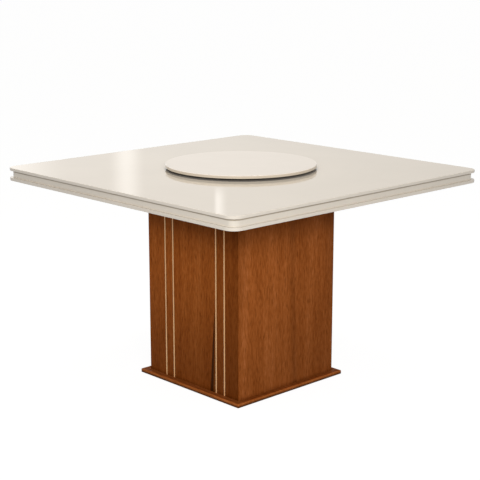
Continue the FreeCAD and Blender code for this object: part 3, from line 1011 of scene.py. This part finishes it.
@dataclass
class Screws:
    """Countersunk wood screws with a cross recess and a rolled thread, driven up in even rows."""

    steel: Material
    node: str
    rows: int
    proud: float = 0.0
    head_radius: float = 4.0 * MILLI
    shank_radius: float = 2.0 * MILLI
    recess_share: float = 0.6
    arm_share: float = 0.17
    recess_depth: float = 0.9 * MILLI
    thread_depth: float = 0.25 * MILLI
    thread_pitch: float = 1.4 * MILLI
    thread_start: float = 1.5
    steps: int = 48
    face_steps: int = 14
    cone_steps: int = 4
    pitch_steps: int = 10
    tip_steps: int = 8

    def build(self) -> None:
        """Make the screws of the node."""
        low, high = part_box(self.node)
        places = rows_over((low, high), self.head_radius, self.rows, low.z - self.proud)
        screws = self.surface(high.z - low.z).at(places)
        Piece(f"{self.node}_driven", TABLE, "zinc_steel", (self.node,)).add(screws, self.steel)

    def surface(self, length: float) -> Surface:
        """Shape of one screw, head down at the origin and tip up.

        The head's face is a disc whose height is the recess depth times a cross of two smooth arms that
        fade towards the rim. From the rim a cone leads to the shank, whose radius is drawn in by a thread:
        a sine of the turn angle less the height over the pitch. The tip is a cone.

        Args:
            length: Length of the screw.

        Returns:
            The screw.
        """
        face = np.linspace(0.0, 1.0, self.face_steps)
        cone = np.linspace(0.0, 1.0, self.cone_steps)[1:]
        tip = np.linspace(0.0, 1.0, self.tip_steps)[1:]
        neck, point = self.head_radius - self.shank_radius, 2 * self.shank_radius
        shoulder = length - point
        pitches = max(2, round((shoulder - neck) / self.thread_pitch))
        shank = np.linspace(neck, shoulder, self.pitch_steps * pitches)[1:]
        radius = np.concatenate([
            face * self.head_radius,
            self.head_radius - cone * neck,
            np.full_like(shank, self.shank_radius),
            self.shank_radius * (1.0 - tip),
        ])
        height = np.concatenate([np.zeros_like(face), cone * neck, shank, shoulder + tip * point])
        on_face = np.arange(len(radius)) < len(face)
        threaded = (height > neck * self.thread_start) & ~on_face
        angle = np.linspace(0.0, FULL_TURN, self.steps, endpoint=False)[:, None]
        x, y = radius * np.cos(angle), radius * np.sin(angle)
        arm = self.arm_share * self.head_radius
        cross = np.maximum(np.exp(-((x / arm) ** 4)), np.exp(-((y / arm) ** 4)))
        fade = np.sqrt(np.clip(1.0 - radius / (self.recess_share * self.head_radius), 0.0, 1.0))
        height = height + on_face * self.recess_depth * cross * fade
        wave = 0.5 + 0.5 * np.sin(angle - FULL_TURN * height / self.thread_pitch)
        draw = 1.0 - threaded * wave * self.thread_depth / self.shank_radius
        return Surface.closed(np.stack([x * draw, y * draw, height], axis=-1), capped=False)


@dataclass
class Foot:
    """The plinth board with its screws and floor glides."""

    veneer: Material
    steel: Material
    nylon: Material
    corner_radius: float = 3.6 * MILLI
    upper_arris: float = 3.0 * MILLI
    lower_arris: float = 0.8 * MILLI
    glide_radius: float = 12.0 * MILLI
    glide_edge: float = 1.0 * MILLI
    pin_radius: float = 1.5 * MILLI
    screw_proud: float = 0.3 * MILLI
    corner_rows: int = 2
    glide_steps: int = 64

    def build(self) -> None:
        """Make the plinth, its screws and the glides."""
        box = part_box("plinth_board")
        plinth = board(box, self.corner_radius, Side, self.lower_arris, self.upper_arris)
        Piece("plinth_veneered", TABLE, "brown_veneer", ("plinth_board",)).add(plinth, self.veneer)
        Screws(self.steel, "plinth_screws", self.corner_rows, self.screw_proud).build()
        glides = Piece("floor_glides_moulded", TABLE, "glide_nylon", ("floor_glides",))
        glides.add(self.glides(box[0].z), self.nylon)

    def glides(self, top: float) -> Surface:
        """Shape of the four glides, each a rounded foot disc with a pin.

        Args:
            top: Height of the plinth's underside.

        Returns:
            The glides at the corners.
        """
        low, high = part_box("floor_glides")
        foot, pin = self.glide_radius - self.glide_edge, self.pin_radius
        edge = arc((foot, low.z + self.glide_edge), self.glide_edge, -1.0, 0.0, EDGE_STEPS)
        upper = [(self.glide_radius, top), (pin, top), (pin, high.z - pin), (pin / 2, high.z)]
        profile = np.concatenate([[(foot - HOLD, low.z)], edge, upper])
        places = rows_over((low, high), self.glide_radius, self.corner_rows, 0.0)
        return turned(profile, self.glide_steps).at(places)


@dataclass
class Turntable:
    """The lacquered disc and the ball bearing that it turns on."""

    lacquer: Material
    steel: Material
    bevel: float = 1.5 * MILLI
    bevel_blend: float = 0.8 * MILLI
    under_round: float = 1.5 * MILLI
    seat_radius: float = 93.4 * MILLI
    bearing_height: float = 10.5 * MILLI
    steps: int = 288
    ball_radius: float = 2.16 * MILLI
    ball_count: int = 12
    ball_steps: int = 12

    def build(self) -> None:
        """Make the bearing's balls and the disc."""
        balls = Piece("bearing_balls_polished", BALL_TRAIN, "ball_steel", ("bearing_balls",))
        balls.add(self.balls(), self.steel)
        disc = Piece("turntable_disc_lacquered", TURNTABLE, "cream_lacquer", ("turntable_disc",))
        disc.add(self.disc(), self.lacquer)

    def disc(self) -> Surface:
        """Shape of the disc.

        Its profile runs from the bearing seat under its middle out to the rounded lower edge, up the rim,
        over a bevel whose two ends are blended by arcs, and on to the flat top.

        Returns:
            The disc.
        """
        low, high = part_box("turntable_disc")
        rim, base, top = high.x, low.z, high.z
        under, blend = self.under_round, self.bevel_blend
        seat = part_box("top_panel")[1].z + self.bearing_height
        lower = arc((rim - under, base + under), under, -1.0, 0.0, EDGE_STEPS)
        drop = self.bevel + blend * math.tan(QUARTER / 4)
        foot = arc((rim - blend, top - drop), blend, 0.0, 0.5, EDGE_STEPS)
        head = arc((rim - drop, top - blend), blend, 0.5, 1.0, EDGE_STEPS)
        profile = np.concatenate([
            [(self.seat_radius, seat), (self.seat_radius, base), (rim - under - HOLD, base)],
            lower, [(rim, base + under + HOLD), (rim, top - drop - HOLD)],
            foot, head, [(rim - drop - HOLD, top)],
        ])
        return turned(profile, self.steps)

    def balls(self) -> Surface:
        """Shape of the balls, a hair smaller than their solids so that no facet of a race touches them.

        Returns:
            All the balls on their circle.
        """
        low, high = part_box("bearing_balls")
        level, orbit = (low.z + high.z) / 2, high.x - (high.z - low.z) / 2
        places = np.column_stack([orbit * ring(self.ball_count), np.full(self.ball_count, level)])
        half_round = arc((0.0, 0.0), self.ball_radius, -1.0, 1.0, self.ball_steps)
        return turned(half_round, 2 * self.ball_steps, capped=False).at(places)


@dataclass(frozen=True)
class Gleam:
    """A soft upright light far behind the table, which only the gloss shows.

    Its place and soft edges are tangents of the angle to the right of the camera's heading, and its
    foot is the tangent of the elevation at which it starts.
    """

    place: float
    left_edge: float
    right_edge: float
    gain: float
    foot: float = 0.0
    foot_edge: float = 0.01


@dataclass(frozen=True)
class Lamp:
    """A soft lamp: its height, its way along the camera's heading, face, watts, turn and colour."""

    name: str
    height: float
    ahead: float
    face: Pair
    power: float
    turn: float = 0.0
    colour: Triple = (1.0, 1.0, 1.0)


@dataclass
class Studio:
    """A pale floor, soft light and the camera."""

    yaw: float = math.radians(46.58)
    pitch: float = math.radians(13.07)
    distance: float = 4.320
    sideways: float = -3.9 * MILLI
    eye_height: float = 1.512
    lens: float = 91.68
    sensor: float = 36.0
    white: Linear = (1.0, 1.0, 1.0, 1.0)
    sky: float = 0.37
    sky_colour: Linear = (1.0, 0.98, 0.955, 1.0)
    sweep: float = 0.93
    sweep_slope: float = -0.75
    sweep_reach: float = 0.25
    least_ahead: float = 0.2
    gleams: tuple[Gleam, ...] = (
        Gleam(-0.094, 0.016, 0.016, 0.42),
        Gleam(-0.019, 0.003, 0.009, 0.6, 0.185),
        Gleam(-0.2, 0.1, 0.06, 0.5),
    )
    floor_half: float = 80.0
    floor_colour: Linear = (0.16, 0.16, 0.16, 1.0)
    floor_roughness: float = 0.9
    floor_glow: Pair = (0.17, 0.93)
    aim_height: float = 0.5
    lamps: tuple[Lamp, ...] = (
        Lamp("key", 1.87, -4.2, (2.0, 0.85), 97.0, turn=math.radians(2.0)),
        Lamp("overhead", 3.2, 0.35, (1.2, 0.9), 22.5, colour=(1.0, 0.94, 0.82)),
    )

    def build(self) -> None:
        """Set the whole studio up."""
        bpy.context.scene.view_settings.view_transform = "Standard"
        self.camera()
        self.world()
        self.floor()
        for lamp in self.lamps:
            self.hang(lamp)

    def heading(self, turn: float = 0.0) -> Vector:
        """Level direction in which the camera looks, or one turned from it to the left by an angle."""
        return Vector((-math.sin(self.yaw + turn), math.cos(self.yaw + turn), 0.0))

    def link(self, name: str, data: bpy.types.ID) -> bpy.types.Object:
        """Make an object of the studio and put it in the scene.

        Args:
            name: Name of the object.
            data: What it shows.

        Returns:
            The object.
        """
        item = bpy.data.objects.new(name, data)
        bpy.context.scene.collection.objects.link(item)
        return item

    def camera(self) -> None:
        """Stand the camera at the viewing angle."""
        data = bpy.data.cameras.new("camera")
        data.lens, data.sensor_width, data.sensor_fit = self.lens, self.sensor, "HORIZONTAL"
        item = self.link("camera", data)
        level = self.heading(-QUARTER) * self.sideways - self.heading() * self.distance
        item.location = level + UP * self.eye_height
        aim = self.heading() * math.cos(self.pitch) - UP * math.sin(self.pitch)
        item.rotation_euler = aim.to_track_quat("-Z", "Y").to_euler()
        bpy.context.scene.camera = item

    def rays(self, sheet: NodeSheet) -> tuple[Socket, Socket]:
        """1 or 0 for a ray that comes straight to the camera, and for one that comes mirrored."""
        path = sheet.node("LightPath").outputs
        return path["Is Camera Ray"], path["Is Glossy Ray"]

    def sweep_light(self, sheet: NodeSheet) -> Socket:
        """What gloss shows of the surroundings: a pale sweep that falls off to the right, and the gleams.

        Args:
            sheet: The world's nodes.

        Returns:
            The strength of the light along a ray.
        """
        way = sheet.mapped(sheet.node("TexCoord").outputs["Generated"], Rotation=(0.0, 0.0, -self.yaw))
        across, ahead, up = sheet.parts(way)
        ahead = sheet.math("MAXIMUM", ahead, self.least_ahead)
        turn, rise = (sheet.math("DIVIDE", part, ahead) for part in (across, up))
        near = sheet.math("MINIMUM", sheet.math("MAXIMUM", turn, -self.sweep_reach), self.sweep_reach)
        light = [sheet.math("MULTIPLY_ADD", near, self.sweep_slope, self.sweep)]
        for gleam in self.gleams:
            left = sheet.ease(turn, gleam.place - gleam.left_edge, gleam.place)
            right = sheet.ease(turn, gleam.place, gleam.place + gleam.right_edge, gleam.gain, 0.0)
            lifted = sheet.ease(rise, gleam.foot, gleam.foot + gleam.foot_edge)
            light.append(sheet.chain("MULTIPLY", (left, right, lifted)))
        return sheet.chain("ADD", light)

    def world(self) -> None:
        """Pale surroundings: white to look at, a soft sweep in the gloss, softer as light."""
        world = bpy.data.worlds.new("studio")
        world.use_nodes = True
        sheet = NodeSheet(world.node_tree)
        direct, mirrored = self.rays(sheet)
        plain = sheet.ease(direct, 0.0, 1.0, self.sky, 1.0)
        other = sheet.math("MULTIPLY", plain, sheet.math("SUBTRACT", 1.0, mirrored))
        strength = sheet.math("MULTIPLY_ADD", self.sweep_light(sheet), mirrored, other)
        colour = sheet.blend(direct, self.sky_colour, self.white)
        sheet.node("OutputWorld", sheet.node("Background", colour, strength).outputs[0])
        bpy.context.scene.world = world

    def floor(self) -> None:
        """A wide pale floor that keeps a faint shadow."""
        half = self.floor_half
        mesh = bpy.data.meshes.new("floor")
        corners = [(-half, -half, 0.0), (half, -half, 0.0), (half, half, 0.0), (-half, half, 0.0)]
        mesh.from_pydata(corners, [], [range(len(corners))])
        item = self.link("floor", mesh)
        paint = Paint("pale_floor", self.floor_colour)
        seen = paint.math("MAXIMUM", *self.rays(paint))
        glow = paint.ease(seen, 0.0, 1.0, *self.floor_glow)
        light = {"Emission_Color": self.white, "Emission_Strength": glow}
        floor = paint.finish(Roughness=self.floor_roughness, Specular_IOR_Level=0.0, **light)
        mesh.materials.append(floor)

    def hang(self, lamp: Lamp) -> None:
        """Hang a lamp that only lights, turned to the middle of the table.

        Args:
            lamp: The lamp.
        """
        data = bpy.data.lights.new(lamp.name, "AREA")
        data.shape, data.energy, data.color = "RECTANGLE", lamp.power, lamp.colour
        data.size, data.size_y = lamp.face
        item = self.link(lamp.name, data)
        item.location = UP * lamp.height + self.heading(lamp.turn) * lamp.ahead
        item.rotation_euler = (UP * self.aim_height - item.location).to_track_quat("-Z", "Y").to_euler()
        item.visible_camera = item.visible_glossy = False


# Painted shade on the band just under the plate's overhang: how far down it reaches and how soft its lower
# edge is.
SHADE_UNDER_PLATE_DROP, SHADE_UNDER_PLATE_FADE = 6.5 * MILLI, 1.5 * MILLI
# How far below the disc's top the painted shade on its rim starts, and how far above its base the painted
# shade on its underside ends.
RIM_SHADE_DROP, UNDERSIDE_SHADE_RISE = 1.5 * MILLI, 0.8 * MILLI
BATTEN_ROWS = 3


def main() -> None:
    """Build the table's looks sub-assembly by sub-assembly, then the studio round it."""
    logging.basicConfig(level=logging.INFO, format="%(name)s: %(message)s")
    plinth_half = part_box("plinth_board")[1].x
    pedestal_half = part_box("pedestal_right_panel")[1].x
    places = (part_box(f"inlay_front_{number + 1}") for number in range(LINE_COUNT))
    lines = tuple((low.x + high.x) / 2 for low, high in places)
    under, over = (corner.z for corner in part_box("turntable_disc"))
    # Painted shade: the top of the band, under the plate's overhang, darker.
    shade_under_plate = Tone((178.0, 164.0, 144.0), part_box("top_panel")[0].z - SHADE_UNDER_PLATE_DROP, SHADE_UNDER_PLATE_FADE, below=False)
    # Painted shade: the disc's rim and bevel darker than its top.
    rim = Tone((212.0, 200.0, 182.0), over - RIM_SHADE_DROP)
    # Painted shade: the disc's underside near black and without clear coat, so that the gap under the disc
    # looks dark.
    underside_shade = Tone((40.0, 28.0, 19.0), under + UNDERSIDE_SHADE_RISE, coat=0.0)

    lacquer = LacquerFinish().material()
    band = LacquerFinish("band_lacquer", (229.0, 221.0, 208.0), (shade_under_plate,)).material()
    disc = LacquerFinish("disc_lacquer", (246.0, 236.0, 225.0), (rim, underside_shade)).material()
    plain = VeneerFinish("brown_veneer_plain", pedestal_half).material()
    lined = LinedVeneerFinish("brown_veneer_lined", pedestal_half, lines=lines).material()
    plinth = PlinthFinish("brown_veneer_plinth", plinth_half).material()
    pale = (252.0, 191.0, 132.0)
    inlay = WoodFinish("pale_inlay", GrainRun.UPRIGHT, pale, contrast=0.1, roughness=0.34).material()
    batten = WoodFinish("raw_board_along", GrainRun.ALONG_X, (198.0, 166.0, 122.0), 0.6).material()
    post = WoodFinish("raw_board_upright", GrainRun.UPRIGHT, (194.0, 160.0, 116.0), 0.6).material()
    steel = MetalFinish("zinc_steel", (196.0, 200.0, 204.0), (0.272, 0.442)).material()
    brass = MetalFinish("insert_brass", (206.0, 172.0, 96.0), (0.256, 0.416)).material()
    bright = MetalFinish("ball_steel", (220.0, 221.0, 224.0), (0.096, 0.156)).material()
    pewter = (212.0, 213.0, 214.0)
    aluminium = MetalFinish("ring_aluminium", pewter, (0.24, 0.39), mark_height=0.6).material()
    glide = SolidFinish("glide_nylon", (60.0, 54.0, 48.0)).material()
    cage = SolidFinish("cage_nylon", (232.0, 228.0, 216.0)).material()

    TableTop(lacquer, band).build()
    Pedestal(plain, lined, inlay).build()
    Foot(plinth, steel, glide).build()
    Turntable(disc, bright).build()
    Screws(steel, "batten_screws", BATTEN_ROWS).build()
    dress(("batten_front", "batten_middle", "batten_back", "pedestal_top_board"), batten)
    dress([f"corner_post_{name}" for name in ("front_left", "front_right", "back_right", "back_left")], post)
    dress(("top_bolts", "bolt_washers", "fixed_ring_screws", "turning_ring_screws"), steel)
    dress(("thread_inserts",), brass)
    dress(("bearing_fixed_ring", "bearing_turning_ring"), aluminium)
    dress(("ball_cage",), cage)
    Studio().build()


if __name__ == "__main__":
    main()
